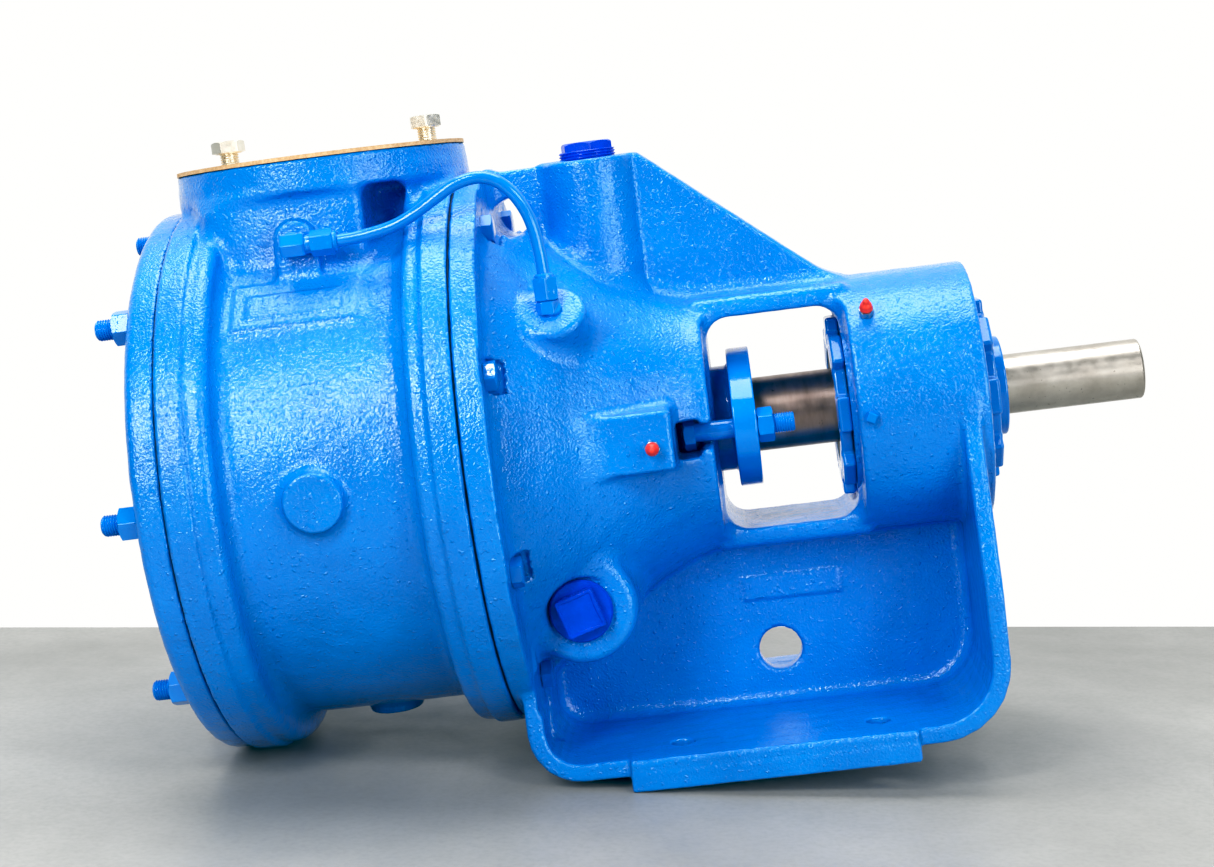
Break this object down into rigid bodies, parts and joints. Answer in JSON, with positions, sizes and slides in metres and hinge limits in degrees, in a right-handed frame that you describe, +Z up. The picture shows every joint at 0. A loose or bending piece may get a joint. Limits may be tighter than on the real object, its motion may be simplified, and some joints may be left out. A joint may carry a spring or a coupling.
{
  "type": "foot-mounted internal gear pump",
  "caption": "Heavy internal gear pump on a cast foot bracket, with packed shaft seal, lugged thrust bearing caps, flush line and two flanged ports.",
  "frame": {"origin": "centre of the foot's four bolt holes, on the underside of the foot", "axes": "+X along the shaft towards its drive end, +Z up towards the top port, +Y towards the side port"},
  "size_m": [0.795, 0.4993, 0.5373],
  "materials": {
    "blue_enamel": "gloss enamel brushed and sprayed over cast iron",
    "plug_plastic": "moulded polyethylene",
    "ground_steel": "ground, with brown storage tarnish",
    "bearing_steel": "ground",
    "bare_iron": "machined",
    "gasket": "compressed fibre",
    "graphite": "carbon graphite",
    "seal_rubber": "moulded",
    "bronze": "machined",
    "zinc_plate": "zinc plated with a pale yellow passivate",
    "fibreboard": "pressed fibre sheet",
    "fitting_steel": "plated",
    "red_plastic": "moulded soft plastic"
  },
  "bodies": {
    "pump_body": {"casing": "blue_enamel", "head": "blue_enamel", "head_gasket": "gasket", "casing_gasket": "gasket", "head_studs": "blue_enamel", "head_nuts": "blue_enamel", "bracket": "blue_enamel", "bracket_rails": "blue_enamel", "bracket_bearing_end": "blue_enamel", "bracket_foot": "blue_enamel", "bracket_screws": "blue_enamel", "bracket_bushing": "graphite", "packing_washer": "bare_iron", "packing_rings": "graphite", "lantern_ring": "bronze", "gland_bolts": "blue_enamel", "bearing_housing": "blue_enamel", "bearing_outer_race": "bearing_steel", "lip_seal_inner": "seal_rubber", "lip_seal_outer": "seal_rubber", "inner_end_cap": "blue_enamel", "outer_end_cap": "blue_enamel", "housing_set_screws": "blue_enamel", "grease_fittings": "fitting_steel", "grease_fitting_caps": "red_plastic", "flush_tube": "blue_enamel", "flush_fittings": "blue_enamel", "flush_tube_nuts": "blue_enamel", "top_plug": "plug_plastic", "near_side_plug": "plug_plastic", "far_side_plug": "plug_plastic", "top_port_cover": "fibreboard", "top_port_bolts": "zinc_plate", "side_port_cover": "fibreboard", "side_port_bolts": "zinc_plate", "idler_pin": "bearing_steel"},
    "shaft_assembly": {"shaft": "ground_steel", "rotor": "bare_iron", "bearing_inner_race": "bearing_steel", "bearing_spacer": "bearing_steel", "bearing_locknut": "bearing_steel"},
    "idler_assembly": {"idler_gear": "bare_iron", "idler_bushing": "graphite"},
    "ball_set": {"bearing_balls": "bearing_steel", "bearing_cage": "bronze"},
    "gland_assembly": {"gland": "blue_enamel", "gland_nuts": "blue_enamel"}
  },
  "joints": [
    {"name": "shaft_spin", "type": "hinge", "parent": "pump_body", "child": "shaft_assembly", "pos_m": [0.099, 0, 0.262], "axis": [1, 0, 0], "continuous": true},
    {"name": "idler_spin", "type": "hinge", "parent": "pump_body", "child": "idler_assembly", "pos_m": [-0.371, 0.02546, 0.28746], "axis": [1, 0, 0], "continuous": true},
    {"name": "ball_cage_spin", "type": "hinge", "parent": "pump_body", "child": "ball_set", "pos_m": [0.139, 0, 0.262], "axis": [1, 0, 0], "continuous": true},
    {"name": "gland_slide", "type": "slide", "parent": "pump_body", "child": "gland_assembly", "axis": [1, 0, 0], "range_m": [-0.01, 0.012]}
  ],
  "couplings": [
    {"joint": "idler_spin", "follows": "shaft_spin", "ratio": 1.5},
    {"joint": "ball_cage_spin", "follows": "shaft_spin", "ratio": 0.4043}
  ]
}
